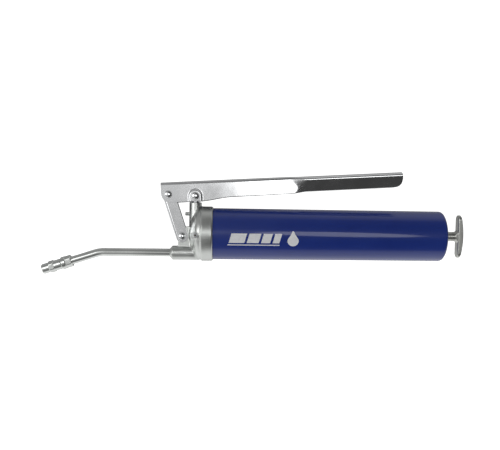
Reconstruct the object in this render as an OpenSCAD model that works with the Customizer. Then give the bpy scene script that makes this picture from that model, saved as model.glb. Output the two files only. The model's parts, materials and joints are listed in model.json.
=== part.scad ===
/* [Barrel] */
// Outside diameter of the grease barrel
barrel_od = 58; // [57:0.5:59]
// Wall thickness of the barrel and of its closed end
barrel_wall = 1.5; // [1.2:0.1:1.6]
// Length of the barrel behind the head's collar
barrel_len = 264; // [250:1:300]
// Radius of the barrel's rear corner
barrel_corner = 4; // [3:0.5:5]

/* [Head casting] */
// Outside diameter of the collar that the barrel screws into
collar_od = 61.5; // [61.5:0.5:64]
// Length of the collar
collar_len = 13.7; // [13.5:0.1:15]
// Depth of the dome in front of the collar
dome_len = 12.8; // [12.5:0.1:13.5]
// Outside diameter of the upright plunger column
column_od = 14; // [13.4:0.1:14.4]
// Height of the column's top above the barrel's axis
column_top = 35.2; // [34:0.1:35.4]
// Outside diameter of the outlet boss
boss_od = 16; // [15:0.5:17]
// Distance of the outlet's axis below the barrel's axis
outlet_drop = 21.8; // [21:0.1:22.5]
// Thickness of the lug that carries the link
lug_w = 8.4; // [8:0.1:8.4]

/* [Lever linkage] */
// Diameter of the plunger rod
plunger_d = 8.5; // [8:0.1:8.6]
// Diameter of the three pivot pins
pin_d = 6; // [5:0.5:6]
// Diameter of the pins' domed heads
pin_head_d = 8.6; // [8:0.2:9]
// Thickness of the lever's sheet
lever_sheet = 1.8; // [1.5:0.1:2]
// Outside width of the lever's front channel
lever_w = 17.6; // [17.4:0.1:18]
// Outside width of the lever's grip
grip_w = 20; // [19:0.5:22]
// Upward slope of the closed lever, in degrees
lever_slope = 3.7; // [3.4:0.1:4]
// Thickness of the link's sheet
link_sheet = 2.1; // [1.8:0.1:2.2]
// Outside width of the link
link_w = 13.2; // [13.2:0.1:13.4]

/* [Spout and coupler] */
// Outside diameter of the spout tube
spout_od = 9; // [8.8:0.1:9]
// Inside diameter of the spout tube
spout_id = 4; // [3:0.5:4]
// Length from the spout's bend to the coupler's mouth
spout_reach = 64.4; // [60:0.1:80]
// Downward bend of the spout, in degrees
spout_bend = 17.8; // [10:0.1:30]
// Diameter of the coupler's grip on a grease nipple
nipple_d = 6.6; // [6.4:0.1:6.6]

/* [Follower and rod] */
// Diameter of the follower rod
rod_d = 9; // [8:0.5:9]
// Distance of the follower's front end behind the collar at rest
follower_x = 3; // [2:0.5:10]
// Wire diameter of the follower spring
spring_wire = 2.2; // [2:0.1:2.4]
// Height of the T-handle
handle_h = 50; // [44:0.2:54]
// Width of the T-handle
handle_w = 11; // [10.6:0.2:12]
// Turn of the T-handle about the rod at rest, in degrees
handle_turn = 4; // [0:1:180]

/* [Hidden] */
$fn = 72;

// Clearances: a running fit's radial gap, and a gap between faces of different pieces
running = 0.05;
gap = 0.1;
cut = 1; // how far a cutting tool runs past the face it opens

// Barrel, collar and dome, along +X from the head towards the T-handle
barrel_r = barrel_od / 2;
bore_r = barrel_r - barrel_wall;
barrel_front = -1;
barrel_rear = barrel_front + barrel_len;
collar_r = collar_od / 2;
collar_rear = barrel_front - 2 * gap;
collar_front = collar_rear - collar_len;
dome_front = collar_front - dome_len;
thread_len = 10;
thread_r = barrel_r - 0.5;
gasket_t = 2;
gasket_x = barrel_front - thread_len - gasket_t - gap;
recess_r = 22;
recess_x = gasket_x - 2.5;

// Plunger column
column_x = -21.2;
column_r = column_od / 2;
plunger_r = plunger_d / 2;
plunger_low = -10;
pump_bore_low = -17;
inlet_z = 7;
inlet_r = 2.5;
seal_r = 5.7;
seal_h = 3;
retainer_h = 1.2;
seal_z = column_top - seal_h - retainer_h;

// Linkage pivots in the X-Z plane: lever to link, lever to plunger, link to lug
pin_r = pin_d / 2;
pivot_a = [-51.1, 43.2];
pivot_b = [column_x, 42];
pivot_c = [-35.7, -3.1];
head_h = 2.5;

// Outlet boss
outlet_z = -outlet_drop;
boss_r = boss_od / 2;
boss_front = -46.5;
boss_rear = -16;
boss_nose = 2.4;
boss_nose_r = 6;
channel_r = 2;
valve_seat_x = -28;
valve_r = 3;
outlet_ball_r = 2.6;
spout_socket_x = -38;

// Lever, in its own frame: origin at the plunger pin, s along the lever, t up
lever_front = -37.5;
lever_rear = 237.2;
lever_top = 16.8;
front_drop = 22.7;
waist_drop = 19.2;
neck_drop = 18.6;
grip_drop = 17.4;
front_round = 10;
rear_round = 9;
taper_s = [5, 40];
grip_s = [108, 127];
top_round = 3.5;
emboss_r = 8.2;
emboss_out = 2;
lever_in = lever_w / 2 - lever_sheet;

// Link, in its own frame: origin at the lug pin, t towards the lever pin, n rearwards
link_len = norm(pivot_a - pivot_c);
link_lean = atan2(pivot_c[0] - pivot_a[0], pivot_a[1] - pivot_c[1]);
link_back = 6.7;
link_face = 6.8;
link_web_low = 5.5;
slot_play = [3.2, 0.8];

// Spout
spout_r = spout_od / 2;
bend_x = -126.2;
bend_round = 30;
bend_thin = 0.02; // the bend's wall is this much thinner on each side
bend_tangent = bend_round * tan(spout_bend / 2);

// Coupler, as distances from the bend along the spout
mouth_w = spout_reach;
nose_w = mouth_w - 8.1;
hex_w = nose_w - 5.8;
sleeve_w = hex_w - 7.6;
ring_w = sleeve_w - 5.3;
coupler_w = ring_w - 6.3;
tube_end_w = ring_w - 1;
hex_r = 7.2;
body_r = 6.8;
ring_r = 7;
sleeve_neck_r = 5.9;
sleeve_hex_r = 7.1;
sleeve_ring_r = 6.7;
nose_r = 5.6;
spigot_r = 4.35;
spigot_w = sleeve_w + 6;
seat_w = sleeve_w - 2;
coupler_ball_r = 2.2;
jaw_r = nipple_d / 2;
jaw_len = 7;
jaw_w = mouth_w - 1.2 - jaw_len;
seal_t = 2;

// Follower, rod and handle
cup_len = 16;
nut_t = 4;
washer_t = 1.2;
cup_web = 3;
stud_r = 3;
rod_r = rod_d / 2;
cup_x = follower_x + nut_t + washer_t + 2 * gap;
rod_shoulder = cup_x + cup_web + washer_t + 2 * gap;
barrel_end = barrel_rear - barrel_wall;
bush_r = 8;
bush_flange = 3;
neck_r = 5.4;
neck_x = barrel_rear + 1.2;
plate_x = barrel_rear + 19.4;
plate_t = 1.5;
handle_deep = 6.2;
handle_tip = 3.2;
rod_tip = plate_x + plate_t;

// Colours
zinc = [0.72, 0.73, 0.73];
chrome = [0.86, 0.87, 0.88];
steel = [0.62, 0.63, 0.65];
blue = [0.10, 0.15, 0.42];
rubber = [0.10, 0.10, 0.11];

// Points along a circle's arc, from angle a0 to a1
function arc(c, r, a0, a1, n = 8) =
    [for (i = [0:n]) c + r * [cos(a0 + (a1 - a0) * i / n), sin(a0 + (a1 - a0) * i / n)]];

// Points of a smooth S-shaped step from p to q
function s_curve(p, q, n = 8) =
    [for (i = [0:n]) let (u = i / n) [p[0] + (q[0] - p[0]) * u, p[1] + (q[1] - p[1]) * u * u * (3 - 2 * u)]];

// Turns a shape drawn along Z so that it lies along +X
module along_x(x = 0, z = 0) {
    translate([x, 0, z]) rotate([0, 90, 0]) children();
}

// A tube along X from x0 to x1, at height z
module ring_x(r_out, r_in, x0, x1, z = 0) {
    along_x(x0, z) difference() {
        cylinder(r = r_out, h = x1 - x0);
        translate([0, 0, -cut]) cylinder(r = r_in, h = x1 - x0 + 2 * cut);
    }
}

// A tube along Z from z0 to z1
module ring_z(r_out, r_in, z0, z1) {
    translate([0, 0, z0]) difference() {
        cylinder(r = r_out, h = z1 - z0);
        translate([0, 0, -cut]) cylinder(r = r_in, h = z1 - z0 + 2 * cut);
    }
}

// A solid turned about X from a list of [radius, x] points
module turned_x(points) {
    along_x() rotate_extrude() polygon(points);
}

// A solid turned about Z from a list of [radius, z] points
module turned_z(points) {
    rotate_extrude() polygon(points);
}

// Stands a flat X-Z outline up as a plate that is centred on Y = 0
module plate_y(thick) {
    rotate([90, 0, 0]) linear_extrude(height = thick, center = true) children();
}

// A pin along Y through point p, from -half to +half
module pin_y(p, r, half) {
    translate([p[0], 0, p[1]]) rotate([90, 0, 0]) cylinder(r = r, h = 2 * half, center = true);
}

// A riveted pivot pin along Y with a domed head at each end
module rivet(p, half) {
    head_r = pin_head_d / 2;
    dome_r = (head_r * head_r + head_h * head_h) / (2 * head_h);
    pin_y(p, pin_r, half + 0.5);
    for (side = [-1, 1])
        translate([p[0], side * half, p[1]]) rotate([-90 * side, 0, 0]) intersection() {
            cylinder(r = head_r, h = head_h);
            translate([0, 0, head_h - dome_r]) sphere(r = dome_r);
        }
}

// A closed wire coil about Z, from z0 to z1
module coil(r, wire, turns, z0, z1, steps = 10, sides = 6) {
    n = turns * steps;
    w = wire / 2;
    rise = (z1 - z0 - wire) / n;
    points = [for (i = [0:n], j = [0:sides - 1])
        let (a = 360 * i / steps, b = 360 * j / sides, q = r + w * cos(b))
        [q * cos(a), q * sin(a), z0 + w + rise * i + w * sin(b)]];
    walls = [for (i = [0:n - 1], j = [0:sides - 1])
        let (p = i * sides + j, q = i * sides + (j + 1) % sides)
        each [[p, q, q + sides], [p, q + sides, p + sides]]];
    caps = [[for (j = [sides - 1:-1:0]) j], [for (j = [0:sides - 1]) n * sides + j]];
    polyhedron(points = points, faces = concat(walls, caps), convexity = 10);
}

// Places a shape drawn along +Z on the sloping end of the spout
module on_spout() {
    translate([bend_x, 0, outlet_z]) rotate([0, -90 - spout_bend, 0]) children();
}

// Places a shape drawn in the lever's own frame
module on_lever() {
    translate([pivot_b[0], 0, pivot_b[1]]) rotate([0, -lever_slope, 0]) children();
}

// Places a shape drawn in the link's own frame
module on_link() {
    translate([pivot_c[0], 0, pivot_c[1]]) rotate([0, -link_lean, 0]) children();
}

// Places a shape drawn along +Z on the bleeder's boss, with the boss's face at Z = 0
bleeder_face = [-19.6, -27.5, -1.5];
bleeder_aim = 52;
bleeder_boss_r = 3.8;
bleeder_boss_len = 8;
bleeder_bore_r = 0.8;
bleeder_bore_len = 4.5;
module on_bleeder() {
    translate(bleeder_face) rotate([0, 0, bleeder_aim]) rotate([0, -90, 0]) children();
}

// Outline of the lug that carries the link
lug_eye_r = 4.6;
lug_front = pivot_c[0] - lug_eye_r;
lug_root_x = -24;
lug_top = 7.9;
lug_low = -18;

// Head casting: collar, dome, plunger column, link lug, outlet boss and bleeder boss
module head_shell() {
    dome_ball = 47; // radius of the dome's gently curved middle
    middle_r = 24; // how far out the gently curved middle reaches
    edge_round = 7; // radius of the dome's rounded edge
    edge_x = collar_front + 0.4;
    dome_angle = asin(middle_r / dome_ball);
    turned_x(concat(
        [[0, collar_rear]],
        [for (i = [0:8]) let (a = dome_angle * i / 8)
            [dome_ball * sin(a), dome_front + dome_ball * (1 - cos(a))]],
        arc([collar_r - 1.4 - edge_round, edge_x], edge_round, -62, 0, 6),
        [[collar_r - 0.8, edge_x], [collar_r, edge_x + 1],
         [collar_r, collar_rear - 1.2], [collar_r - 1, collar_rear]]
    ));
    translate([column_x, 0, outlet_z]) turned_z([
        [0, 0], [column_r, 0], [column_r, column_top - outlet_z - 0.6],
        [column_r - 0.6, column_top - outlet_z], [0, column_top - outlet_z]]);
    along_x(boss_front, outlet_z) cylinder(r = boss_r, h = boss_rear - boss_front);
    along_x(boss_front - boss_nose, outlet_z)
        cylinder(r1 = boss_nose_r - 0.6, r2 = boss_nose_r, h = boss_nose / 2);
    along_x(boss_front - boss_nose / 2, outlet_z) cylinder(r1 = boss_nose_r, r2 = boss_r, h = boss_nose / 2);
    plate_y(lug_w) {
        polygon([[lug_root_x, lug_top], [lug_root_x - 7.5, lug_top], [lug_front + 1.2, lug_top - 7.9],
            [lug_front, pivot_c[1]], [lug_front, lug_low], [lug_root_x, lug_low]]);
        translate(pivot_c) circle(r = lug_eye_r);
    }
    on_bleeder() translate([0, 0, -bleeder_boss_len]) cylinder(r = bleeder_boss_r, h = bleeder_boss_len);
}

module head_casting() {
    color(zinc) difference() {
        head_shell();
        along_x(gasket_x) cylinder(r = thread_r + gap, h = cut - gasket_x);
        along_x(recess_x) cylinder(r = recess_r, h = cut - recess_x);
        translate([column_x, 0, pump_bore_low])
            cylinder(r = plunger_r + running, h = column_top - pump_bore_low + cut);
        translate([column_x, 0, seal_z]) cylinder(r = seal_r, h = column_top - seal_z + cut);
        along_x(column_x, inlet_z) cylinder(r = inlet_r, h = recess_x - column_x + cut);
        translate([column_x, 0, outlet_z]) cylinder(r = channel_r, h = 6);
        along_x(valve_seat_x - cut, outlet_z) cylinder(r = channel_r, h = column_x - valve_seat_x + cut);
        along_x(spout_socket_x - cut, outlet_z) cylinder(r = valve_r, h = valve_seat_x - spout_socket_x + cut);
        along_x(boss_front - boss_nose - cut, outlet_z)
            cylinder(r = spout_r, h = spout_socket_x - boss_front + boss_nose + cut);
        pin_y(pivot_c, pin_r, lug_w);
        along_x(column_x - column_r - cut, vent_z) cylinder(r = vent_shank_r, h = cut + vent_shank_len);
        on_bleeder() translate([0, 0, -bleeder_len]) cylinder(r = bleeder_r, h = bleeder_len + cut);
        on_bleeder() translate([0, 0, -bleeder_len - bleeder_bore_len])
            cylinder(r = bleeder_bore_r, h = bleeder_bore_len + cut);
    }
}

// Small plug in the front of the column
vent_z = 22;
vent_shank_r = 1.5;
vent_shank_len = 1.6;
vent_head_r = 2;
vent_len = 5.9;
module vent_plug() {
    x = column_x - column_r + vent_shank_len - gap;
    color(zinc) translate([x, 0, vent_z]) rotate([0, -90, 0]) turned_z([
        [0, 0], [vent_shank_r, 0], [vent_shank_r, vent_shank_len], [vent_head_r, vent_shank_len],
        [vent_head_r, vent_len - 0.5], [vent_head_r - 0.6, vent_len], [0, vent_len]]);
}

// Bleeder valve: body, push stem and its spring
bleeder_r = 2.6;
bleeder_len = 5;
bleeder_stem_r = 1;
module bleeder_body() {
    color(steel) on_bleeder() {
        ring_z(bleeder_r, bleeder_stem_r + gap, -1.2, 0.3);
        ring_z(bleeder_r, 2, -bleeder_len, -1.2);
    }
}

module bleeder_stem() {
    color(steel) on_bleeder() {
        translate([0, 0, -2.2]) cylinder(r = bleeder_stem_r, h = 3.1);
        translate([0, 0, -2.2]) cylinder(r = 1.9, h = 0.9);
    }
}

module bleeder_spring() {
    color(steel) on_bleeder() coil(1.5, 0.4, 3, -bleeder_len + 0.05, -2.25, 8, 5);
}

// Plunger with its cross hub, its seal and the ring that holds the seal
module plunger_seal() {
    color(rubber) translate([column_x, 0, 0]) ring_z(seal_r, plunger_r + running, seal_z, seal_z + seal_h);
}

module seal_retainer() {
    color(steel) translate([column_x, 0, 0])
        ring_z(seal_r, plunger_r + running, seal_z + seal_h, column_top);
}

hub_r = 5.5;
hub_half = 8.2;
module plunger() {
    color(chrome) difference() {
        union() {
            translate([column_x, 0, plunger_low]) cylinder(r = plunger_r, h = pivot_b[1] - plunger_low);
            pin_y(pivot_b, hub_r, hub_half);
        }
        pin_y(pivot_b, pin_r + running, hub_half + cut);
    }
}

module plunger_pin() {
    color(chrome) rivet(pivot_b, lever_w / 2 + emboss_out);
}

// Lever: a folded channel in front and a rounded grip behind
lever_outline = concat(
    [[lever_front, lever_top]],
    arc([lever_front + front_round, lever_top - front_drop + front_round], front_round, 180, 270),
    s_curve([taper_s[0], lever_top - front_drop], [taper_s[1], lever_top - waist_drop]),
    s_curve([grip_s[0], lever_top - neck_drop], [grip_s[1], lever_top - grip_drop]),
    arc([lever_rear - rear_round, lever_top - grip_drop + rear_round], rear_round, -90, 0),
    [[lever_rear, lever_top]]
);

// Half outlines [y, t] of the channel's and the grip's cross sections, from the top centre down
function channel_half(half, top, r, low) = concat(
    [[0, top]], [for (p = arc([half - r, top - r], r, 90, 0, 8)) p], [[half, low]]);
function grip_half(half, up, down, centre, low, n = 10) = concat(
    [for (i = [0:n]) let (a = 90 - 90 * i / n) [half * cos(a), centre + up * sin(a)]],
    [for (i = [1:n]) let (u = (centre - low) / down * i / n) [half * sqrt(1 - u * u), centre - down * u]]);
function mirrored(half) = concat(half, [for (i = [len(half) - 1:-1:0]) [-half[i][0], half[i][1]]]);

grip_low = lever_top - grip_drop - 1.5;
grip_centre = lever_top - 6.5;
channel_outer = mirrored(channel_half(lever_w / 2, lever_top, top_round, lever_top - 30));
channel_inner = mirrored(
    channel_half(lever_in, lever_top - lever_sheet, top_round - lever_sheet, lever_top - 32));
grip_outer = mirrored(grip_half(grip_w / 2, 6.5, 14.5, grip_centre, grip_low));
grip_inner = mirrored(
    grip_half(grip_w / 2 - lever_sheet, 6.5 - lever_sheet, 13.6, grip_centre, grip_low - 1));

// Extrudes a [y, t] section along the lever from s0 to s1
module lever_run(section, s0, s1) {
    translate([s0, 0, 0]) rotate([90, 0, 90]) linear_extrude(height = s1 - s0) polygon(section);
}

module emboss(r, y0, y1) {
    for (side = [-1, 1])
        translate([0, side * (y0 + y1) / 2, 0]) plate_y(y1 - y0) {
            circle(r = r);
            translate([-r, lever_top - front_drop]) square([2 * r, front_drop - lever_top]);
        }
}

module lever() {
    pin_a = pivot_a - pivot_b;
    color(chrome) difference() {
        union() {
            on_lever() intersection() {
                plate_y(2 * grip_w) polygon(lever_outline);
                union() {
                    difference() {
                        lever_run(channel_outer, lever_front - cut, grip_s[0]);
                        lever_run(channel_inner, lever_front - 2 * cut, grip_s[0] + cut);
                    }
                    difference() {
                        hull() {
                            lever_run(channel_outer, grip_s[0] - 0.01, grip_s[0]);
                            lever_run(grip_outer, grip_s[1], grip_s[1] + 0.01);
                        }
                        hull() {
                            lever_run(channel_inner, grip_s[0] - cut, grip_s[0]);
                            lever_run(grip_inner, grip_s[1], grip_s[1] + cut);
                        }
                    }
                    difference() {
                        lever_run(grip_outer, grip_s[1], lever_rear + cut);
                        lever_run(grip_inner, grip_s[1] - cut, lever_rear + 2 * cut);
                    }
                }
            }
            on_lever() emboss(emboss_r, lever_in, lever_w / 2 + emboss_out);
        }
        on_lever() emboss(emboss_r - lever_sheet, lever_in - cut, lever_in + emboss_out);
        on_lever() translate([0, 0, lever_top - front_drop])
            cube([2 * (emboss_r - lever_sheet), 2 * (lever_in + emboss_out), 2], center = true);
        pin_y(pivot_a, pin_r, lever_w);
        pin_y(pivot_b, pin_r, lever_w);
    }
}

module lever_front_pin() {
    color(chrome) rivet(pivot_a, lever_w / 2);
}

// Link: a folded strap with its web in front and a slotted upper eye
link_outline = concat(
    [[-link_face, link_web_low]],
    arc([0, 0], link_back, 180, 360, 16),
    arc([(link_back - link_face) / 2, link_len], (link_back + link_face) / 2, 0, 180, 16)
);

module link() {
    half = link_w / 2;
    bend = 3;
    outer = concat([[link_back + cut, half]], arc([bend - link_face, half - bend], bend, 90, 180, 6),
        arc([bend - link_face, bend - half], bend, 180, 270, 6), [[link_back + cut, -half]]);
    color(chrome) difference() {
        on_link() intersection() {
            plate_y(2 * link_w) polygon(link_outline);
            translate([0, 0, -20]) linear_extrude(height = link_len + 40) polygon(outer);
        }
        on_link() translate([link_sheet - link_face, link_sheet - half, -20])
            cube([2 * link_face, link_w - 2 * link_sheet, link_len + 40]);
        on_link() translate([-link_face - cut, link_sheet - half, -20])
            cube([2 * link_face, link_w - 2 * link_sheet, 20 + link_web_low]);
        pin_y(pivot_c, pin_r + running, link_w);
        on_link() translate([0, 0, link_len]) plate_y(2 * link_w) {
            square([slot_play[0], pin_d + slot_play[1]], center = true);
            for (side = [-1, 1]) translate([side * slot_play[0] / 2, 0]) circle(r = pin_r + slot_play[1] / 2);
        }
    }
}

module link_pin() {
    color(chrome) rivet(pivot_c, link_w / 2 + gap);
}

// Outlet check valve
module outlet_ball() {
    seat_depth = sqrt(outlet_ball_r * outlet_ball_r - channel_r * channel_r);
    color(steel) translate([valve_seat_x - seat_depth - 0.02, 0, outlet_z]) sphere(r = outlet_ball_r);
}

module outlet_spring() {
    seat_depth = sqrt(outlet_ball_r * outlet_ball_r - channel_r * channel_r);
    length = valve_seat_x - seat_depth - outlet_ball_r - spout_socket_x - 0.1;
    color(steel) along_x(spout_socket_x + 0.02, outlet_z) coil(2.3, 0.6, 4, 0, length);
}

// Spout tube: straight from the boss, one bend, then down to the coupler
module spout_tube() {
    color(chrome) {
        ring_x(spout_r, spout_id / 2, bend_x + bend_tangent, spout_socket_x, outlet_z);
        translate([bend_x + bend_tangent, 0, outlet_z - bend_round]) rotate([90, 0, 0])
            rotate([0, 0, 90]) rotate_extrude(angle = spout_bend) translate([bend_round, 0]) difference() {
                circle(r = spout_r - bend_thin);
                circle(r = spout_id / 2 + bend_thin);
            }
        on_spout() ring_z(spout_r, spout_id / 2, bend_tangent, tube_end_w);
    }
}

// Coupler: body with a check valve, and a sleeve that closes the jaws
module coupler_body() {
    color(chrome) on_spout() difference() {
        union() {
            intersection() {
                translate([0, 0, coupler_w]) cylinder(r = hex_r, h = ring_w - coupler_w, $fn = 6);
                turned_z([[0, coupler_w], [body_r - 0.8, coupler_w], [body_r, coupler_w + 0.8],
                    [body_r, ring_w], [0, ring_w]]);
            }
            turned_z([[0, ring_w], [ring_r - 0.7, ring_w], [ring_r, ring_w + 0.7], [ring_r, sleeve_w - 1],
                [ring_r - 0.7, sleeve_w - 0.3], [0, sleeve_w - 0.3]]);
            translate([0, 0, sleeve_w - cut]) cylinder(r = spigot_r, h = spigot_w - sleeve_w + cut);
        }
        translate([0, 0, coupler_w - cut]) cylinder(r = spout_r, h = tube_end_w - coupler_w + cut);
        translate([0, 0, coupler_w]) cylinder(r = 1.4, h = seat_w - coupler_w + cut);
        translate([0, 0, seat_w]) cylinder(r = 2.6, h = spigot_w - seat_w + cut);
    }
}

coupler_ball_low = seat_w + sqrt(coupler_ball_r * coupler_ball_r - 1.96) - coupler_ball_r + 0.02;
coupler_ball_top = coupler_ball_low + 2 * coupler_ball_r;
module coupler_ball() {
    color(steel) on_spout() translate([0, 0, coupler_ball_low + coupler_ball_r]) sphere(r = coupler_ball_r);
}

module coupler_ball_spring() {
    color(steel) on_spout() coil(1.8, 0.5, 2, coupler_ball_top - 0.6, spigot_w - 1.02, 10, 5);
}

module coupler_ball_stop() {
    color(steel) on_spout() ring_z(2.6, 1.2, spigot_w - 1, spigot_w);
}

module coupler_seal_spring() {
    color(steel) on_spout() coil(3.2, 0.8, 3, spigot_w + 0.02, jaw_w - seal_t - 0.12);
}

module coupler_seal() {
    color(rubber) on_spout() ring_z(4.2, 1, jaw_w - seal_t - 0.1, jaw_w - 0.1);
}

// Four jaw segments with one bore between them
module coupler_jaws() {
    color(steel) on_spout() difference() {
        turned_z([[jaw_r, jaw_w], [4.3, jaw_w], [4.3, mouth_w - 4.5],
            [3.95, mouth_w - 1.2], [jaw_r, mouth_w - 1.2]]);
        for (turn = [45, 135]) rotate([0, 0, turn])
            translate([0, 0, jaw_w + jaw_len / 2]) cube([20, 0.5, jaw_len + 2], center = true);
    }
}

module coupler_sleeve() {
    color(chrome) on_spout() difference() {
        union() {
            turned_z([[0, sleeve_w], [sleeve_neck_r - 0.4, sleeve_w], [sleeve_neck_r, sleeve_w + 0.5],
                [sleeve_neck_r, hex_w + cut], [0, hex_w + cut]]);
            intersection() {
                translate([0, 0, hex_w]) cylinder(r = sleeve_hex_r, h = nose_w - hex_w, $fn = 6);
                turned_z([[0, hex_w], [sleeve_ring_r - 0.6, hex_w], [sleeve_ring_r, hex_w + 0.7],
                    [sleeve_ring_r, nose_w - 0.7], [sleeve_ring_r - 0.6, nose_w], [0, nose_w]]);
            }
            turned_z([[0, nose_w - cut], [nose_r, nose_w - cut], [nose_r, mouth_w - 1],
                [nose_r - 0.8, mouth_w], [0, mouth_w]]);
        }
        turned_z([[0, sleeve_w - cut], [spigot_r + gap, sleeve_w - cut], [spigot_r + gap, mouth_w - 4.5],
            [4.08, mouth_w - 1.1], [3.6, mouth_w - 1], [3.6, mouth_w + cut], [0, mouth_w + cut]]);
    }
}

// Barrel with its front gasket and the bush in its closed end
module barrel_gasket() {
    color(rubber) ring_x(thread_r, bore_r - 1.5, gasket_x + 0.02, gasket_x + gasket_t);
}

module barrel_tube() {
    r = barrel_corner;
    color(blue) turned_x(concat(
        [[bush_r, barrel_rear], [bush_r, barrel_end]],
        arc([barrel_r - r, barrel_rear - r], r - barrel_wall, 90, 0, 6),
        [[bore_r, barrel_front - thread_len], [thread_r, barrel_front - thread_len],
         [thread_r, barrel_front], [barrel_r, barrel_front]],
        arc([barrel_r - r, barrel_rear - r], r, 0, 90, 8)
    ));
}

module rod_bush() {
    flange_x = barrel_end - bush_flange;
    color(steel) turned_x([[rod_r + running, flange_x], [bush_r + bush_flange, flange_x],
        [bush_r + bush_flange, barrel_end], [bush_r, barrel_end], [bush_r, barrel_rear],
        [bush_r - 1, barrel_rear + 0.5], [rod_r + running, barrel_rear + 0.5]]);
}

// Follower: rubber cup between two washers, pushed forwards by the long spring
module follower_spring() {
    length = barrel_end - bush_flange - gap - rod_shoulder;
    color(steel) along_x(rod_shoulder + 0.05) coil(21.5, spring_wire, 14, 0, length, 12);
}

module follower_cup() {
    wall = 1.8;
    color(rubber) turned_x([
        [stud_r + gap, cup_x], [bore_r - 3, cup_x], [bore_r - running, cup_x + 3],
        [bore_r - running, cup_x + cup_len], [bore_r - running - wall, cup_x + cup_len],
        [bore_r - running - wall, cup_x + cup_web], [stud_r + gap, cup_x + cup_web]]);
}

module follower_front_washer() {
    color(steel) ring_x(18, stud_r + gap, cup_x - washer_t, cup_x);
}

module follower_rear_washer() {
    color(steel) ring_x(23.5, stud_r + gap, cup_x + cup_web, cup_x + cup_web + washer_t);
}

module follower_rod() {
    color(chrome) turned_x([[0, follower_x - 1.5], [stud_r, follower_x - 1.5], [stud_r, rod_shoulder],
        [rod_r, rod_shoulder], [rod_r, rod_tip], [0, rod_tip]]);
}

module follower_nut() {
    color(steel) along_x(follower_x) difference() {
        cylinder(r = 5.8, h = nut_t, $fn = 6);
        translate([0, 0, -cut]) cylinder(r = stud_r, h = nut_t + 2 * cut);
    }
}

// T-handle: a pressed dish with a deep middle, on a neck around the rod
module handle_outline(inset) {
    r = handle_w / 2 - inset;
    reach = handle_h / 2 - handle_w / 2;
    square([2 * reach, 2 * r], center = true);
    for (side = [-1, 1]) translate([side * reach, 0]) circle(r = r);
}

module t_handle() {
    rim_round = (pow(handle_h / 2, 2) + pow(handle_deep - handle_tip, 2)) / (2 * (handle_deep - handle_tip));
    color(chrome) rotate([handle_turn, 0, 0]) difference() {
        union() {
            intersection() {
                along_x(plate_x) linear_extrude(height = handle_deep) handle_outline(0);
                translate([plate_x + handle_deep - rim_round, 0, 0]) rotate([90, 0, 0])
                    cylinder(r = rim_round, h = 2 * handle_w, center = true, $fn = 200);
            }
            turned_x([[0, neck_x], [neck_r - 0.4, neck_x], [neck_r, neck_x + 0.4], [neck_r, plate_x + 1],
                [0, plate_x + 1]]);
            intersection() {
                turned_x([[0, plate_x - 2.5], [neck_r, plate_x - 2.5], [neck_r + 0.6, plate_x - 1],
                    [neck_r + 2, plate_x], [neck_r + 2, plate_x + 1], [0, plate_x + 1]]);
                along_x(plate_x - 3) linear_extrude(height = 5) handle_outline(0);
            }
        }
        along_x(plate_x + plate_t) linear_extrude(height = handle_deep) handle_outline(plate_t);
        along_x(neck_x - cut) cylinder(r = rod_r, h = rod_tip - neck_x + 2 * cut);
    }
}

head_casting();
vent_plug();
bleeder_body();
bleeder_stem();
bleeder_spring();
plunger_seal();
seal_retainer();
plunger();
plunger_pin();
lever();
lever_front_pin();
link();
link_pin();
outlet_ball();
outlet_spring();
spout_tube();
coupler_body();
coupler_ball();
coupler_ball_spring();
coupler_ball_stop();
coupler_seal_spring();
coupler_seal();
coupler_jaws();
coupler_sleeve();
barrel_gasket();
barrel_tube();
rod_bush();
follower_spring();
follower_cup();
follower_front_washer();
follower_rear_washer();
follower_rod();
follower_nut();
t_handle();
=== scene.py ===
import json
import math

import bmesh
import bpy
from mathutils import Matrix, Vector


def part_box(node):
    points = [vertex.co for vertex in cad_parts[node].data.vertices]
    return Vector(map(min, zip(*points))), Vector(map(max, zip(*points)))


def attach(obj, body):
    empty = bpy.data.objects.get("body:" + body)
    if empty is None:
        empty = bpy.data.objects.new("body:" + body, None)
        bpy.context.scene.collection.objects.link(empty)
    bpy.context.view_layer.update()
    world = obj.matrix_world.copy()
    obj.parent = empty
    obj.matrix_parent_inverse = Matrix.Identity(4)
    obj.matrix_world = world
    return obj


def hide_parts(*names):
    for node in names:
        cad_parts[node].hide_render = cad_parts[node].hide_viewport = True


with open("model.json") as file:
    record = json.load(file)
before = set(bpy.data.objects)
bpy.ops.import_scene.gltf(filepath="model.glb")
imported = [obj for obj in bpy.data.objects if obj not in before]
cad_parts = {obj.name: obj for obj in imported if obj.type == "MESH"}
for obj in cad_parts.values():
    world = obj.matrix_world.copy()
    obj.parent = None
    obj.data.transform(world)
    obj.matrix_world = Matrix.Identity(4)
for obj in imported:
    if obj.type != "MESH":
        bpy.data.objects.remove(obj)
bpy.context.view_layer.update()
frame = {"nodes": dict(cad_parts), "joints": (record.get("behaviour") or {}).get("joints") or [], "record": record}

MM = 0.001
NODES = frame["nodes"]
JOINTS = {joint["name"]: joint for joint in frame["joints"]}
BODY_OF = {node: body for body, members in frame["record"]["behaviour"]["bodies"].items() for node in members}
SLOT_OF = {part["node"]: part["material_slot"] for part in frame["record"]["subparts"]}


# ---------------------------------------------------------------- frame sizes

def centre(node):
    low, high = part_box(node)
    return (low + high) / 2


def span(node):
    low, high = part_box(node)
    return high - low


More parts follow.
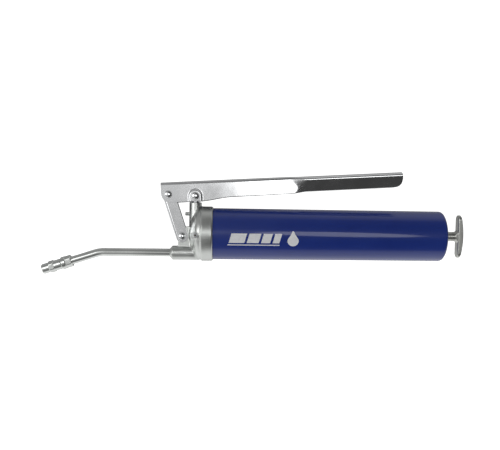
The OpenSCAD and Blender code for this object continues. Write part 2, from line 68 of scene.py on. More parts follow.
PIN_B = Vector(JOINTS["lever_swing"]["pos_m"])
PIN_C = Vector(JOINTS["link_swing"]["pos_m"])
PIN_A = centre("lever_front_pin")
PIN_R = 3.0 * MM
HEAD_R = span("link_pin").x / 2
SPOUT_DIR = Vector(JOINTS["coupler_lift"]["axis"]).normalized()
BARREL_R = span("barrel_tube").z / 2
BARREL_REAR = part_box("barrel_tube")[1].x
BARREL_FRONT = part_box("barrel_tube")[0].x
BARREL_THREAD = 10 * MM
BARREL_SHOULDER = BARREL_FRONT + BARREL_THREAD


# ---------------------------------------------------------------- mesh helpers

def new_piece(name, verts, faces, body, slot, node=None, sharp_deg=35):
    """A mesh piece with smooth shading up to an angle, riding on a CAD body."""
    mesh = bpy.data.meshes.new(name)
    mesh.from_pydata([tuple(v) for v in verts], [], faces)
    mesh.validate()
    bm = bmesh.new()
    bm.from_mesh(mesh)
    bmesh.ops.remove_doubles(bm, verts=bm.verts, dist=1e-7)
    bmesh.ops.recalc_face_normals(bm, faces=bm.faces)
    bm.to_mesh(mesh)
    bm.free()
    obj = bpy.data.objects.new(name, mesh)
    bpy.context.scene.collection.objects.link(obj)
    finish_piece(obj, body, slot, node, sharp_deg)
    return obj


def finish_piece(obj, body, slot, node=None, sharp_deg=35):
    shade(obj, sharp_deg)
    obj.data.materials.clear()
    obj.data.materials.append(MATERIALS[slot])
    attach(obj, body)
    if node:
        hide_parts(*([node] if isinstance(node, str) else node))


def shade(obj, sharp_deg):
    mesh = obj.data
    mesh.polygons.foreach_set("use_smooth", [True] * len(mesh.polygons))
    mesh.set_sharp_from_angle(angle=math.radians(sharp_deg))
    mesh.update()


def apply_modifiers(obj):
    graph = bpy.context.evaluated_depsgraph_get()
    mesh = bpy.data.meshes.new_from_object(obj.evaluated_get(graph))
    obj.modifiers.clear()
    obj.data = mesh


def bevelled(obj, width, segments=2, angle_deg=32):
    mod = obj.modifiers.new("bevel", "BEVEL")
    mod.width = width
    mod.segments = segments
    mod.limit_method = "ANGLE"
    mod.angle_limit = math.radians(angle_deg)
    mod.use_clamp_overlap = True
    apply_modifiers(obj)
    return obj


def even_normals(obj):
    """Lets large flat faces set the shading, so that narrow bevels don't bend it."""
    mod = obj.modifiers.new("even", "WEIGHTED_NORMAL")
    mod.keep_sharp = True
    mod.weight = 100
    apply_modifiers(obj)


def copy_of(node, name):
    """A welded copy of a CAD node's mesh, to be refined."""
    mesh = NODES[node].data.copy()
    obj = bpy.data.objects.new(name, mesh)
    bpy.context.scene.collection.objects.link(obj)
    bm = bmesh.new()
    bm.from_mesh(mesh)
    bmesh.ops.remove_doubles(bm, verts=bm.verts, dist=2e-6)
    bmesh.ops.dissolve_limit(bm, angle_limit=math.radians(0.5), verts=bm.verts, edges=bm.edges)
    bm.to_mesh(mesh)
    bm.free()
    return obj


def refined(node, width, segments=2, angle_deg=32):
    """A CAD node again, with its sharp edges broken as a real machined or cast edge is."""
    obj = copy_of(node, node + "_fine")
    bevelled(obj, width, segments, angle_deg)
    finish_piece(obj, BODY_OF[node], SLOT_OF[node], node)
    even_normals(obj)
    return obj


def fillet(points, radii, steps=5):
    """Rounds the corners of an open list of 2D points."""
    out = [Vector(points[0])]
    for i in range(1, len(points) - 1):
        p, a, b = Vector(points[i]), Vector(points[i - 1]), Vector(points[i + 1])
        r = radii[i] if isinstance(radii, (list, tuple)) else radii
        u, v = (a - p), (b - p)
        reach = min(r, u.length * 0.48, v.length * 0.48)
        if reach < 1e-7:
            out.append(p)
            continue
        start, end = p + u.normalized() * reach, p + v.normalized() * reach
        for k in range(steps + 1):
            t = k / steps
            out.append((1 - t) ** 2 * start + 2 * t * (1 - t) * p + t * t * end)
    out.append(Vector(points[-1]))
    return out


def lathe(profile, place, sides=96, closed=False):
    """Turns (radius, height) points about the place matrix's Z axis. A closed profile makes a ring."""
    verts, faces, rows = [], [], []
    for r, h in profile:
        if r < 1e-7:
            rows.append([len(verts)])
            verts.append(place @ Vector((0, 0, h)))
        else:
            rows.append(list(range(len(verts), len(verts) + sides)))
            for k in range(sides):
                a = 2 * math.pi * k / sides
                verts.append(place @ Vector((r * math.cos(a), r * math.sin(a), h)))
    pairs = list(zip(rows, rows[1:]))
    if closed:
        pairs.append((rows[-1], rows[0]))
    for one, two in pairs:
        for k in range(sides):
            n = (k + 1) % sides
            if len(one) == 1 and len(two) == 1:
                continue
            if len(one) == 1:
                faces.append((one[0], two[k], two[n]))
            elif len(two) == 1:
                faces.append((one[k], two[0], one[n]))
            else:
                faces.append((one[k], two[k], two[n], one[n]))
    return verts, faces


def axis_place(origin, direction):
    """A matrix whose Z axis points along direction, from origin."""
    return Matrix.Translation(origin) @ direction.to_track_quat("Z", "Y").to_matrix().to_4x4()


ALONG_X = axis_place(Vector((0, 0, 0)), Vector((1, 0, 0)))


# ---------------------------------------------------------------- materials

def node_material(name):
    material = bpy.data.materials.new(name)
    material.use_nodes = True
    tree = material.node_tree
    return material, tree, tree.nodes["Principled BSDF"]


def mapped_noise(tree, scale, stretch=(1, 1, 1), detail=3.0, rough=0.5):
    """Noise in object space, with stretch drawing it out along an axis."""
    coord = tree.nodes.new("ShaderNodeTexCoord")
    mapping = tree.nodes.new("ShaderNodeMapping")
    mapping.inputs["Scale"].default_value = stretch
    noise = tree.nodes.new("ShaderNodeTexNoise")
    noise.inputs["Scale"].default_value = scale
    noise.inputs["Detail"].default_value = detail
    noise.inputs["Roughness"].default_value = rough
    tree.links.new(coord.outputs["Object"], mapping.inputs["Vector"])
    tree.links.new(mapping.outputs["Vector"], noise.inputs["Vector"])
    return noise.outputs["Fac"]


def remap(tree, source, low, high, start=0.3, end=0.7):
    node = tree.nodes.new("ShaderNodeMapRange")
    node.inputs["From Min"].default_value = start
    node.inputs["From Max"].default_value = end
    node.inputs["To Min"].default_value = low
    node.inputs["To Max"].default_value = high
    tree.links.new(source, node.inputs["Value"])
    return node.outputs["Result"]


def colour_mix(tree, source, dark, light, start=0.3, end=0.7):
    ramp = tree.nodes.new("ShaderNodeValToRGB")
    ramp.color_ramp.elements[0].position = start
    ramp.color_ramp.elements[0].color = (*dark, 1)
    ramp.color_ramp.elements[1].position = end
    ramp.color_ramp.elements[1].color = (*light, 1)
    tree.links.new(source, ramp.inputs["Fac"])
    return ramp.outputs["Color"]


def bump(tree, shader, source, strength, distance):
    node = tree.nodes.new("ShaderNodeBump")
    node.inputs["Strength"].default_value = strength
    node.inputs["Distance"].default_value = distance
    tree.links.new(source, node.inputs["Height"])
    tree.links.new(node.outputs["Normal"], shader.inputs["Normal"])


def metal(name, dark, light, rough, grain_scale, grain_stretch=(1, 1, 1), grain=0.15, depth=2e-5):
    """Bare or plated metal: cloudy tone, uneven polish and a fine grain."""
    material, tree, shader = node_material(name)
    shader.inputs["Metallic"].default_value = 1.0
    cloud = mapped_noise(tree, 60, detail=4.0)
    fine = mapped_noise(tree, grain_scale, grain_stretch, detail=6.0, rough=0.6)
    tree.links.new(colour_mix(tree, cloud, dark, light), shader.inputs["Base Color"])
    tree.links.new(remap(tree, cloud, rough[0], rough[1]), shader.inputs["Roughness"])
    bump(tree, shader, fine, grain, depth)
    return material


def enamel(name, dark, light):
    """Gloss paint under a clear coat, with a faint orange-peel."""
    material, tree, shader = node_material(name)
    cloud = mapped_noise(tree, 25, detail=3.0)
    peel = mapped_noise(tree, 500, detail=1.5)
    tree.links.new(colour_mix(tree, cloud, dark, light), shader.inputs["Base Color"])
    tree.links.new(remap(tree, cloud, 0.30, 0.38), shader.inputs["Roughness"])
    shader.inputs["Coat Weight"].default_value = 0.9
    shader.inputs["Coat Roughness"].default_value = 0.06
    shader.inputs["Specular IOR Level"].default_value = 0.2
    shader.inputs["Coat IOR"].default_value = 1.5
    bump(tree, shader, peel, 0.04, 4e-5)
    return material


def rubber(name):
    material, tree, shader = node_material(name)
    cloud = mapped_noise(tree, 90, detail=5.0)
    tone = colour_mix(tree, cloud, (0.012, 0.012, 0.013), (0.03, 0.03, 0.031))
    tree.links.new(tone, shader.inputs["Base Color"])
    tree.links.new(remap(tree, cloud, 0.55, 0.75), shader.inputs["Roughness"])
    bump(tree, shader, mapped_noise(tree, 1500), 0.2, 3e-5)
    return material


def print_ink(name):
    """White screen print, slightly uneven in its cover."""
    material, tree, shader = node_material(name)
    cloud = mapped_noise(tree, 260, detail=5.0)
    tone = colour_mix(tree, cloud, (0.93, 0.94, 0.97), (0.97, 0.98, 0.99))
    tree.links.new(tone, shader.inputs["Base Color"])
    tree.links.new(remap(tree, cloud, 0.25, 0.4), shader.inputs["Roughness"])
    bump(tree, shader, mapped_noise(tree, 900), 0.1, 1e-5)
    return material


# Each metal: dark tone, light tone, roughness range, grain scale, grain stretch, grain strength, grain depth
METALS = {
    "cast_zinc": ((0.62, 0.64, 0.62), (0.72, 0.74, 0.72), (0.30, 0.38), 700, (1, 1, 1), 0.10, 2e-5),
    "chrome_plate": ((0.80, 0.81, 0.82), (0.88, 0.89, 0.90), (0.07, 0.15), 700, (0.06, 1, 1), 0.10, 1.2e-5),
    "zinc_plate": ((0.70, 0.72, 0.70), (0.82, 0.84, 0.82), (0.08, 0.15), 900, (1, 1, 1), 0.10, 2e-5),
    "pressed_zinc": ((0.50, 0.51, 0.48), (0.62, 0.63, 0.60), (0.28, 0.38), 800, (1, 1, 1), 0.15, 2e-5),
    "plain_steel": ((0.45, 0.46, 0.48), (0.60, 0.61, 0.63), (0.25, 0.4), 1200, (0.1, 1, 1), 0.3),
    "ground_steel": ((0.66, 0.67, 0.69), (0.78, 0.79, 0.81), (0.10, 0.2), 1500, (1, 1, 0.1), 0.2),
    "spring_steel": ((0.20, 0.21, 0.23), (0.34, 0.35, 0.37), (0.25, 0.4), 1500, (1, 1, 1), 0.2),
    "brass": ((0.050, 0.038, 0.022), (0.115, 0.088, 0.048), (0.3, 0.5), 1500, (1, 1, 1), 0.2),
}
MATERIALS = {name: metal(name, *finish) for name, finish in METALS.items()}
MATERIALS["blue_enamel"] = enamel("blue_enamel", (0.0110, 0.0325, 0.240), (0.0135, 0.0385, 0.265))
MATERIALS["black_rubber"] = rubber("black_rubber")
MATERIALS["print_ink"] = print_ink("print_ink")


# ---------------------------------------------------------------- camera

CAMERA_AT = Vector((0.0197, -0.6833, 0.01035))
CAMERA_YAW = math.radians(5.07)
CAMERA_ROLL = math.radians(0.75)
CAMERA_SHIFT = (-0.07, 0.001)
FOCAL_PER_WIDTH = 1.2
SENSOR = 36.0


def make_camera():
    data = bpy.data.cameras.new("camera")
    data.sensor_width = SENSOR
    data.lens = FOCAL_PER_WIDTH * SENSOR
    data.shift_x, data.shift_y = CAMERA_SHIFT
    data.clip_start = 0.01
    data.clip_end = 20
    camera = bpy.data.objects.new("camera", data)
    bpy.context.scene.collection.objects.link(camera)
    right = Vector((math.cos(CAMERA_YAW), -math.sin(CAMERA_YAW), 0))
    up = Vector((0, 0, 1))
    tilted_right = right * math.cos(CAMERA_ROLL) + up * math.sin(CAMERA_ROLL)
    tilted_up = up * math.cos(CAMERA_ROLL) - right * math.sin(CAMERA_ROLL)
    back = tilted_right.cross(tilted_up)
    rotation = Matrix((tilted_right, tilted_up, back)).transposed().to_4x4()
    camera.matrix_world = Matrix.Translation(CAMERA_AT) @ rotation
    bpy.context.scene.camera = camera


make_camera()


# ---------------------------------------------------------------- barrel

def make_barrel():
    """Drawn steel tube with a closed rear end and rounded rim."""
    wall, corner = 1.5 * MM, 4 * MM
    thread_r = BARREL_R - 0.5 * MM
    bore, hole = BARREL_R - wall, 8 * MM
    corners = [
        (hole, BARREL_REAR - wall, 0),
        (hole, BARREL_REAR, 0.3 * MM),
        (BARREL_R, BARREL_REAR, corner),
        (BARREL_R, BARREL_SHOULDER, 0.2 * MM),
        (thread_r, BARREL_SHOULDER, 0),
        (thread_r, BARREL_FRONT, 0.3 * MM),
        (bore, BARREL_FRONT, 0.3 * MM),
        (bore, BARREL_REAR - wall, corner - wall),
        (hole, BARREL_REAR - wall, 0),
    ]
    profile = fillet([(r, x) for r, x, _ in corners], [soft for _, _, soft in corners], 8)[:-1]
    verts, faces = lathe(profile, ALONG_X, 192, closed=True)
    return new_piece("barrel_shell", verts, faces, "barrel", "blue_enamel", "barrel_tube", 25)


make_barrel()


def on_barrel(x, arc, lift):
    """A point on the barrel: x along it, arc the distance down round it from the side that faces -Y."""
    r = BARREL_R + lift
    a = arc / BARREL_R
    return Vector((x, -r * math.cos(a), -r * math.sin(a)))


def wrapped_patch(name, outline, thickness=0.05 * MM):
    """A thin printed shape on the barrel, from an outline of (x, arc) points in metres."""
    longest_edge, sunk = 1.2 * MM, -0.01 * MM
    bm = bmesh.new()
    ring = [bm.verts.new((x, s, 0)) for x, s in outline]
    face = bm.faces.new(ring)
    bmesh.ops.triangulate(bm, faces=[face])
    for _ in range(3):
        bmesh.ops.subdivide_edges(bm, edges=[e for e in bm.edges if e.calc_length() > longest_edge], cuts=1)
        bmesh.ops.triangulate(bm, faces=[f for f in bm.faces if len(f.verts) > 3])
    bm.verts.index_update()
    verts = [v.co.copy() for v in bm.verts]
    faces = [tuple(v.index for v in f.verts) for f in bm.faces]
    rim = [tuple(v.index for v in e.verts) for e in bm.edges if len(e.link_faces) == 1]
    bm.free()
    n = len(verts)
    points = [on_barrel(v.x, v.y, lift) for lift in (thickness, sunk) for v in verts]
    all_faces = faces + [tuple(i + n for i in reversed(f)) for f in faces]
    all_faces += [(a, b, b + n, a + n) for a, b in rim]
    return new_piece(name, points, all_faces, "barrel", "print_ink", None, 40)


def slanted_bar(x0, x1, s0, s1, slant):
    """A parallelogram that leans as italic print does."""
    return [(x0, s1), (x1, s1), (x1 + slant, s0), (x0 + slant, s0)]


def drop_outline(cx, cs, r, steps=40):
    """A grease drop: a round belly that runs up to a point."""
    stretch, pinch = 0.75, 0.28
    points = []
    for k in range(steps):
        a = 2 * math.pi * k / steps
        reach = r * (1 + stretch * max(0.0, math.cos(a)) ** 6)
        waist = 1 - pinch * max(0.0, math.cos(a)) ** 2
        points.append((cx + r * math.sin(a) * waist, cs - reach * math.cos(a)))
    return points


def make_mark():
    """A plain printed mark with no lettering: leaning bars, a thin rule and a drop."""
    bar_top, bar_low, bar_slant, bar_gap = -1.0 * MM, 9.5 * MM, 3.0 * MM, 2.6
    rule_x, rule_arc, rule_slant = (15 * MM, 72 * MM), (11.3 * MM, 12.4 * MM), 0.4 * MM
    drop_x, drop_arc, drop_r = 87 * MM, 6.6 * MM, 6.2 * MM
    x = 16.5 * MM
    for i, width in enumerate((17, 13, 10, 7.5)):
        wrapped_patch(f"mark_bar_{i + 1}", slanted_bar(x, x + width * MM, bar_top, bar_low, bar_slant))
        x += (width + bar_gap) * MM
    wrapped_patch("mark_rule", slanted_bar(*rule_x, *rule_arc, rule_slant))
    wrapped_patch("mark_drop", drop_outline(drop_x, drop_arc, drop_r))


make_mark()


# ---------------------------------------------------------------- lever

# Sizes in mm in the lever's own frame: s runs back from the plunger pin, t runs up
LEVER_SLOPE = math.radians(3.7)
LEVER_FRONT, LEVER_REAR, LEVER_TOP = -37.5, 237.2, 16.8
FRONT_DROP, WAIST_DROP, NECK_DROP, GRIP_DROP = 22.7, 19.2, 18.6, 17.4
WAIST_START, WAIST_END, NECK_END, GRIP_START, GRIP_END = 5, 40, 108, 112, 127
NOSE_R, TAIL_R = 10, 9
SHEET = 1.8
CHANNEL_HALF, CHANNEL_EDGE, GRIP_HALF = 8.8, 3.5, 10.0
BLEND_START, BLEND_END = 106, 128
GRIP_CROWN, GRIP_LEAN = 4.2, 3.6
EMBOSS_RISE, EMBOSS_TOP_R, EMBOSS_FOOT_R, EMBOSS_BELOW_TOP = 2.0, 5.9, 8.2, 6


def smooth_step(value, low, high):
    u = min(1.0, max(0.0, (value - low) / (high - low)))
    return u * u * (3 - 2 * u)


def lever_low(s):
    """Height of the lever's lower edge at s."""
    low = LEVER_TOP - FRONT_DROP
    low += (FRONT_DROP - WAIST_DROP) * smooth_step(s, WAIST_START, WAIST_END)
    low += (WAIST_DROP - NECK_DROP) * min(1.0, max(0.0, (s - WAIST_END) / (NECK_END - WAIST_END)))
    low += (NECK_DROP - GRIP_DROP) * smooth_step(s, GRIP_START, GRIP_END)
    front, rear = s - LEVER_FRONT, LEVER_REAR - s
    if front < NOSE_R:
        low += NOSE_R - math.sqrt(max(0.0, NOSE_R ** 2 - (NOSE_R - front) ** 2))
    if rear < TAIL_R:
        low += TAIL_R - math.sqrt(max(0.0, TAIL_R ** 2 - (TAIL_R - rear) ** 2))
    return low


def section_half(s, low, rows_top=12, rows_side=34):
    """Half of the outer section at s, as (y, t) from the crown down to the lower edge."""
    roundness = smooth_step(s, BLEND_START, BLEND_END)
    flat_share = 1 / 2.2        # of the crown's points, on the channel's flat top
    edge = CHANNEL_EDGE
    points = []
    for k in range(rows_top + 1):
        share = k / rows_top
        a = math.pi / 2 * share
        flat = (CHANNEL_HALF - edge) * min(1.0, share / flat_share)
        bend = max(0.0, (share - flat_share) / (1 - flat_share)) * math.pi / 2
        channel = Vector((flat + edge * math.sin(bend), LEVER_TOP - edge + edge * math.cos(bend)))
        grip = Vector((GRIP_HALF * math.sin(a), LEVER_TOP - GRIP_CROWN + GRIP_CROWN * math.cos(a)))
        points.append(channel.lerp(grip, roundness))
    start = points[-1].y
    for k in range(1, rows_side + 1):
        t = start + (low - start) * k / rows_side
        below = max(0.0, LEVER_TOP - GRIP_CROWN - t) / (GRIP_DROP - GRIP_CROWN)
        grip_y = GRIP_HALF - GRIP_LEAN * (math.sqrt(below * below + 0.01) - 0.1)
        points.append(Vector((CHANNEL_HALF * (1 - roundness) + grip_y * roundness, t)))
    return points


def emboss_height(s, t):
    """How far the flange stands out round the plunger pin and below it."""
    return EMBOSS_RISE * (1 - smooth_step(math.hypot(s, max(0.0, t)), EMBOSS_TOP_R, EMBOSS_FOOT_R))


def lever_stations():
    """Where the lever's sections lie: close together at its ends, the emboss and the neck."""
    stations = []
    for k in range(13):
        a = math.pi / 2 * k / 12
        stations += [LEVER_FRONT + NOSE_R * (1 - math.cos(a)), LEVER_REAR - TAIL_R * math.cos(a)]
    nose_end = LEVER_FRONT + NOSE_R + 1
    runs = ((nose_end, 1, 19), (-10, 0.4, 51), (11, 2.5, 38), (BLEND_START, 1, 23), (131, 4.5, 23))
    for start, spacing, count in runs:
        stations += [start + spacing * k for k in range(count)]
    return sorted(set(round(s, 3) for s in stations if LEVER_FRONT <= s <= LEVER_REAR))


def make_lever():
    """Folded sheet: a flat-sided channel in front that turns into a rounded grip behind."""
    turn = Matrix.Translation(PIN_B) @ Matrix.Rotation(-LEVER_SLOPE, 4, "Y")
    rings = []
    for s in lever_stations():
        half = section_half(s, lever_low(s))
        outer = [Vector((-p.x, p.y)) for p in reversed(half[1:])] + half
        count = len(outer)
        normals = []
        for i in range(count):
            a, b = outer[max(0, i - 1)], outer[min(count - 1, i + 1)]
            d = (b - a).normalized()
            normals.append(Vector((-d.y, d.x)))
        shell = []
        for p, n in zip(outer, normals):
            out = emboss_height(s, p.y) if p.y < LEVER_TOP - EMBOSS_BELOW_TOP else 0.0
            shift = math.copysign(out, p.x)
            inside = p - n * SHEET
            shell.append((Vector((p.x + shift, p.y)), Vector((inside.x + shift, inside.y))))
        loop = [q[0] for q in shell] + [q[1] for q in reversed(shell)]
        rings.append([turn @ (Vector((s, q.x, q.y)) * MM) for q in loop])
    size = len(rings[0])
    verts = [v for ring in rings for v in ring]
    faces = []
    for i in range(len(rings) - 1):
        for k in range(size):
            n = (k + 1) % size
            faces.append((i * size + k, i * size + n, (i + 1) * size + n, (i + 1) * size + k))
    half = size // 2
    for i in (0, len(rings) - 1):
        for k in range(half - 1):
            faces.append((i * size + k, i * size + k + 1, i * size + size - 2 - k, i * size + size - 1 - k))
    obj = new_piece("lever_pressing", verts, faces, "lever", "chrome_plate", "lever", 30)
    bevelled(obj, 0.75 * MM, 4, 50)
    shade(obj, 40)
    even_normals(obj)
    return obj


make_lever()


def make_rivet(name, at, half, body, node):
    """A pivot pin with a domed, slightly flattened head at each end."""
    rise, rim, steps = 2.5 * MM, 0.35 * MM, 10
    head = []
    for k in range(steps + 1):
        a = math.pi / 2 * k / steps
        r = HEAD_R * math.cos(a) ** 0.9 if k < steps else 0.0
        head.append((r, half + rim + (rise - rim) * math.sin(a)))
    side = [(PIN_R, 0), (PIN_R, half), (HEAD_R - 0.25 * MM, half), (HEAD_R, half + 0.2 * MM)] + head
    profile = [(r, -h) for r, h in reversed(side)] + side[1:]
    place = axis_place(Vector((at.x, 0, at.z)), Vector((0, 1, 0)))
    verts, faces = lathe(profile, place, 64)
    return new_piece(name, verts, faces, body, "chrome_plate", node, 40)


LINK_HALF = 6.7
make_rivet("rivet_front", PIN_A, CHANNEL_HALF * MM, "lever", "lever_front_pin")
make_rivet("rivet_plunger", PIN_B, (CHANNEL_HALF + EMBOSS_RISE) * MM, "lever", "plunger_pin")
make_rivet("rivet_link", PIN_C, LINK_HALF * MM, "head", "link_pin")


# ---------------------------------------------------------------- head casting

def make_head():
    """The casting with soft cast fillets where the column, boss and lug run into the dome."""
    voxel, passes = 0.45 * MM, 6
    obj = copy_of("head_casting", "head_cast")
    remesh = obj.modifiers.new("remesh", "REMESH")
    remesh.mode = "VOXEL"
    remesh.voxel_size = voxel
    apply_modifiers(obj)
    smooth = obj.modifiers.new("smooth", "SMOOTH")
    smooth.factor = 0.5
    smooth.iterations = passes
    apply_modifiers(obj)
    finish_piece(obj, "head", "cast_zinc", "head_casting", 180)
    return obj


make_head()


# ---------------------------------------------------------------- spout tube

def make_spout():
    """Bent steel tube, swept along its centre line."""
    low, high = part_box("spout_tube")
    radius, bore = (high.y - low.y) / 2, 2.0 * MM
    bend = Vector(JOINTS["sleeve_turn"]["pos_m"])
    angle = math.acos(-SPOUT_DIR.x)
    round_r = 30 * MM
    tangent = round_r * math.tan(angle / 2)
    start = Vector((high.x, 0, bend.z))
    path, heads = [start], [Vector((-1, 0, 0))]
    steps = 16
    corner = bend + Vector((tangent, 0, 0))
    for k in range(steps + 1):
        a = angle * k / steps
        path.append(corner + Vector((-round_r * math.sin(a), 0, -round_r * (1 - math.cos(a)))))
        heads.append(Vector((-math.cos(a), 0, -math.sin(a))))
    end_reach = (bend.x - low.x - radius * math.sin(angle)) / math.cos(angle)
    path.append(bend + SPOUT_DIR * end_reach)
    heads.append(SPOUT_DIR)
    sides, verts, faces = 64, [], []
    for point, head in zip(path, heads):
        side = Vector((0, 1, 0))
        up = head.cross(side)
        for r in (radius, bore):
            for k in range(sides):
                a = 2 * math.pi * k / sides
                verts.append(point + side * r * math.cos(a) + up * r * math.sin(a))
    for i in range(len(path) - 1):
        for layer in (0, 1):
            for k in range(sides):
                a = (2 * i + layer) * sides
                b = (2 * i + 2 + layer) * sides
                n = (k + 1) % sides
                faces.append((a + k, a + n, b + n, b + k))
    for i in (0, len(path) - 1):
        a, b = 2 * i * sides, (2 * i + 1) * sides
        faces += [(a + k, a + (k + 1) % sides, b + (k + 1) % sides, b + k) for k in range(sides)]
    return new_piece("spout_pipe", verts, faces, "head", "zinc_plate", "spout_tube", 40)


make_spout()


# ---------------------------------------------------------------- T-handle

HANDLE_TURN = math.radians(4)


def make_handle():
    """A pressed dish, deepest in the middle, on a neck that flares into it."""
    turn = Matrix.Rotation(HANDLE_TURN, 4, "X")
    low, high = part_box("t_handle")
    half_h, half_w, deep, tip, sheet, soft = 25.0, 5.5, 6.2, 3.2, 1.5, 1.3
    plate = high.x - deep * MM
    reach = half_h - half_w
    count = 96

    def outline(inset, k):
        r = half_w - inset
        side, step = divmod(k, count // 4)
        share = step / (count // 4)
        if side % 2:
            flip = 1 if side == 1 else -1
            return Vector((-flip * r, flip * reach * (1 - 2 * share)))
        flip = 1 if side == 0 else -1
        a = math.pi * share
        return Vector((flip * r * math.cos(a), flip * (reach + r * math.sin(a))))

    def rim(z):
        return tip + (deep - tip) * (1 - min(1.0, abs(z) / half_h) ** 2)

    def side_points(inset, base):
        rows = []
        for fraction in (0.0, 0.35, 0.7):
            rows.append([(outline(inset + soft, k) * fraction, base) for k in range(count)])
        for step in range(7):
            b = math.pi / 2 * step / 6
            rows.append([(outline(inset + soft * (1 - math.sin(b)), k), base + soft * (1 - math.cos(b)))
                         for k in range(count)])
        for step in range(1, 6):
            ring = []
            for k in range(count):
                p = outline(inset, k)
                ring.append((p, base + soft + (rim(p.y) - base - soft) * step / 5))
            rows.append(ring)
        return rows

    outer = side_points(0.0, 0.0)
    inner = side_points(sheet, sheet)
    rows = outer + list(reversed(inner))
    verts = [turn @ Vector((plate + x * MM, p.x * MM, p.y * MM)) for row in rows for p, x in row]
    faces = []
    for i in range(len(rows) - 1):
        for k in range(count):
            n = (k + 1) % count
            faces.append((i * count + k, i * count + n, (i + 1) * count + n, (i + 1) * count + k))
    dish = new_piece("handle_dish", verts, faces, "rod", "pressed_zinc", "t_handle", 40)
    bevelled(dish, 0.35 * MM, 2, 50)
    shade(dish, 40)
    bore, neck, flare = 4.55 * MM, 5.4 * MM, 2.2 * MM
    start, flare_start, end = low.x, plate - 2.6 * MM, plate + 0.2 * MM
    outside = [(neck, start), (neck, flare_start), (neck + flare, end)]
    corners = [(bore, start), *outside, (bore, end), (bore, start)]
    profile = fillet(corners, [0, 0.4 * MM, 2.5 * MM, 0.1 * MM, 0, 0], 8)
    verts, faces = lathe(profile[:-1], ALONG_X, 72, closed=True)
    verts = [turn @ Vector((v.x, max(-half_w * MM, min(half_w * MM, v.y)), v.z)) for v in verts]
    stem = new_piece("handle_neck", verts, faces, "rod", "pressed_zinc", None, 40)
    rivet = [(0, plate + 2.6 * MM), (2.2 * MM, plate + 2.5 * MM), (3.3 * MM, plate + 2.1 * MM),
             (3.8 * MM, plate + 1.4 * MM), (0, plate + 1.4 * MM)]
    verts, faces = lathe(fillet(rivet, 0.5 * MM, 4), ALONG_X, 48)
    new_piece("handle_rivet", verts, faces, "rod", "ground_steel", None, 60)


make_handle()


# ---------------------------------------------------------------- small parts

for part, width in {
    "link": 0.5, "plunger": 0.4, "coupler_body": 0.3, "coupler_sleeve": 0.3, "coupler_jaws": 0.15,
    "vent_plug": 0.4, "bleeder_body": 0.2, "bleeder_stem": 0.3, "follower_nut": 0.3, "rod_bush": 0.3,
    "follower_rod": 0.3, "seal_retainer": 0.15, "plunger_seal": 0.2, "follower_cup": 0.4,
    "follower_front_washer": 0.25, "follower_rear_washer": 0.25, "barrel_gasket": 0.25, "coupler_seal": 0.2,
    "coupler_ball_stop": 0.15,
}.items():
    refined(part, width * MM, 3 if width > 0.3 else 2)

for part in ("outlet_ball", "outlet_spring", "coupler_ball", "coupler_ball_spring", "coupler_seal_spring",
             "bleeder_spring", "follower_spring"):
    cad = NODES[part]
    cad.data.materials.clear()
    cad.data.materials.append(MATERIALS[SLOT_OF[part]])
    shade(cad, 60)


# ---------------------------------------------------------------- stage and light

def calc(tree, operation, *values):
    """A math node fed by sockets or plain numbers."""
    node = tree.nodes.new("ShaderNodeMath")
    node.operation = operation
    for socket, value in zip(node.inputs, values):
        if isinstance(value, (int, float)):
            socket.default_value = value
        else:
            tree.links.new(value, socket)
    return node.outputs[0]


def smooth_map(tree, source, start, end, low=0.0, high=1.0):
    node = tree.nodes.new("ShaderNodeMapRange")
    node.interpolation_type = "SMOOTHSTEP"
    for name, value in (("From Min", start), ("From Max", end), ("To Min", low), ("To Max", high)):
        node.inputs[name].default_value = value
    tree.links.new(source, node.inputs["Value"])
    return node.outputs["Result"]


def grey_ramp(tree, source, stops):
    """Brightness against position, as a smooth ramp from 0 to 1."""
    ramp = tree.nodes.new("ShaderNodeValToRGB")
    ramp.color_ramp.interpolation = "EASE"
    elements = ramp.color_ramp.elements
    elements.remove(elements[1])
    for i, (position, value) in enumerate(stops):
        element = elements[0] if i == 0 else elements.new(position)
        element.position = position
        element.color = (value, value, value, 1)
    tree.links.new(source, ramp.inputs["Fac"])
    return ramp.outputs["Color"]


def soft_box(tree, azimuth, height, centre_az, centre_el, half_az, half_el, tilt, strength):
    """A soft-edged oval light in the sky, in degrees of azimuth from the front and of height."""
    outer_edge, inner_edge = 1.25, 0.7
    side = calc(tree, "SUBTRACT", azimuth, math.radians(centre_az))
    side = calc(tree, "DIVIDE", side, math.radians(half_az))
    rise = calc(tree, "SUBTRACT", height, math.radians(centre_el))
    rise = calc(tree, "DIVIDE", rise, math.radians(half_el))
    rise = calc(tree, "SUBTRACT", rise, calc(tree, "MULTIPLY", side, tilt))
    reach = calc(tree, "ADD", calc(tree, "MULTIPLY", side, side), calc(tree, "MULTIPLY", rise, rise))
    return smooth_map(tree, reach, outer_edge, inner_edge, 0.0, strength)


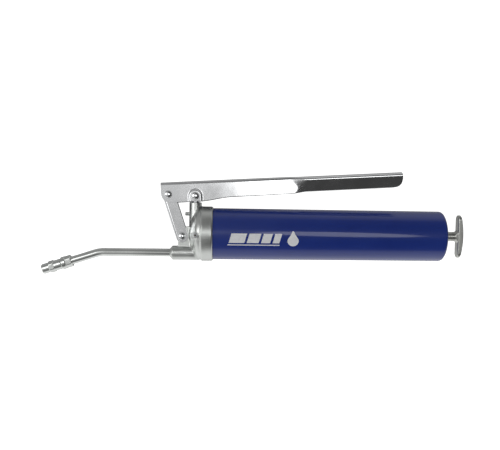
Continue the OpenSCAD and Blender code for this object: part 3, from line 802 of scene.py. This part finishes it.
# Brightness against the angle from the front horizon up over the top, from the far left to the right
FAR_LEFT_SKY = [
    (-180, 0.60), (-120, 0.90), (-100, 0.93), (-70, 0.80), (-55, 0.50), (-40, 0.28), (-28, 0.32), (-12, 0.50),
    (25, 0.55), (38, 0.35), (55, 0.24), (75, 0.28), (100, 0.36), (130, 0.30), (180, 0.30),
]
LEFT_SKY = [
    (-180, 0.35), (-120, 0.80), (-90, 0.85), (-74, 0.70), (-66, 0.25), (-50, 0.16), (-25, 0.20), (-8, 0.26),
    (1, 0.48), (4, 0.66), (14, 0.60), (18, 0.28), (28, 0.20), (60, 0.20), (78, 0.30), (90, 0.45), (104, 0.42),
    (118, 0.15), (135, 0.06), (172, 0.06), (180, 0.15),
]
RIGHT_SKY = [
    (-180, 0.50), (-120, 0.80), (-90, 0.80), (-74, 0.62), (-67, 0.10), (-50, 0.05), (-12, 0.05), (0, 0.12),
    (10, 0.15), (20, 0.10), (40, 0.08), (70, 0.12), (82, 0.40), (95, 0.55), (110, 0.50), (125, 0.35),
    (150, 0.30), (180, 0.30),
]
# Each change between two skies: from one x of the direction to the other
FAR_LEFT_TO_LEFT = (-0.17, -0.11)
LEFT_TO_RIGHT = (-0.05, 0.12)
# Each soft box: azimuth and height of its centre, half width, half height, tilt, strength
RIGHT_BOX = (10.5, 4.0, 10.5, 10.0, -0.35, 2.3)
LEFT_BOX = (-38.0, 7.0, 24.0, 16.0, 0.0, 1.7)
BACKDROP = 1.2


def mixed(tree, one, two, share):
    return calc(tree, "ADD", calc(tree, "MULTIPLY", two, share),
                calc(tree, "MULTIPLY", one, calc(tree, "SUBTRACT", 1.0, share)))


def make_stage():
    """A large pale floor, well below the gun, that only the camera sees."""
    size, floor = 6.0, -0.30
    mesh = bpy.data.meshes.new("floor")
    corners = [(-size, -size, floor), (size, -size, floor), (size, size, floor), (-size, size, floor)]
    mesh.from_pydata(corners, [], [(0, 1, 2, 3)])
    obj = bpy.data.objects.new("floor", mesh)
    bpy.context.scene.collection.objects.link(obj)
    material, tree, shader = node_material("floor_white")
    cloud = mapped_noise(tree, 3.0)
    tone = colour_mix(tree, cloud, (0.78, 0.78, 0.78), (0.82, 0.82, 0.82))
    tree.links.new(tone, shader.inputs["Base Color"])
    shader.inputs["Roughness"].default_value = 0.8
    shader.inputs["Emission Color"].default_value = (1, 1, 1, 1)
    shader.inputs["Emission Strength"].default_value = BACKDROP
    mesh.materials.append(material)
    obj.visible_glossy = False
    obj.visible_diffuse = False
    obj.visible_transmission = False
    obj.visible_shadow = False


def make_light():
    """A grey sky that changes from left to right, with two soft boxes. The camera sees plain white."""
    world = bpy.data.worlds.new("studio")
    bpy.context.scene.world = world
    world.use_nodes = True
    tree = world.node_tree
    tree.nodes.clear()
    coord = tree.nodes.new("ShaderNodeTexCoord")
    split = tree.nodes.new("ShaderNodeSeparateXYZ")
    tree.links.new(coord.outputs["Generated"], split.inputs["Vector"])
    x, y, z = split.outputs
    front = calc(tree, "MULTIPLY", y, -1.0)
    over = calc(tree, "ARCTAN2", z, front)
    azimuth = calc(tree, "ARCTAN2", x, front)
    height = calc(tree, "ARCSINE", z)
    turn = calc(tree, "ADD", calc(tree, "DIVIDE", over, 2 * math.pi), 0.5)
    far, left, right = (grey_ramp(tree, turn, [(0.5 + angle / 360, value) for angle, value in stops])
                        for stops in (FAR_LEFT_SKY, LEFT_SKY, RIGHT_SKY))
    sky = mixed(tree, far, left, smooth_map(tree, x, *FAR_LEFT_TO_LEFT))
    sky = mixed(tree, sky, right, smooth_map(tree, x, *LEFT_TO_RIGHT))
    right_box = soft_box(tree, azimuth, height, *RIGHT_BOX)
    left_box = soft_box(tree, azimuth, height, *LEFT_BOX)
    total = calc(tree, "ADD", calc(tree, "ADD", right_box, left_box), sky)
    seen = tree.nodes.new("ShaderNodeLightPath")
    total = calc(tree, "MAXIMUM", total, calc(tree, "MULTIPLY", seen.outputs["Is Camera Ray"], BACKDROP))
    back = tree.nodes.new("ShaderNodeBackground")
    out = tree.nodes.new("ShaderNodeOutputWorld")
    tree.links.new(total, back.inputs["Strength"])
    tree.links.new(back.outputs["Background"], out.inputs["Surface"])
    back.inputs["Color"].default_value = (1, 1, 1, 1)


make_stage()
make_light()
bpy.context.scene.view_settings.view_transform = "Standard"
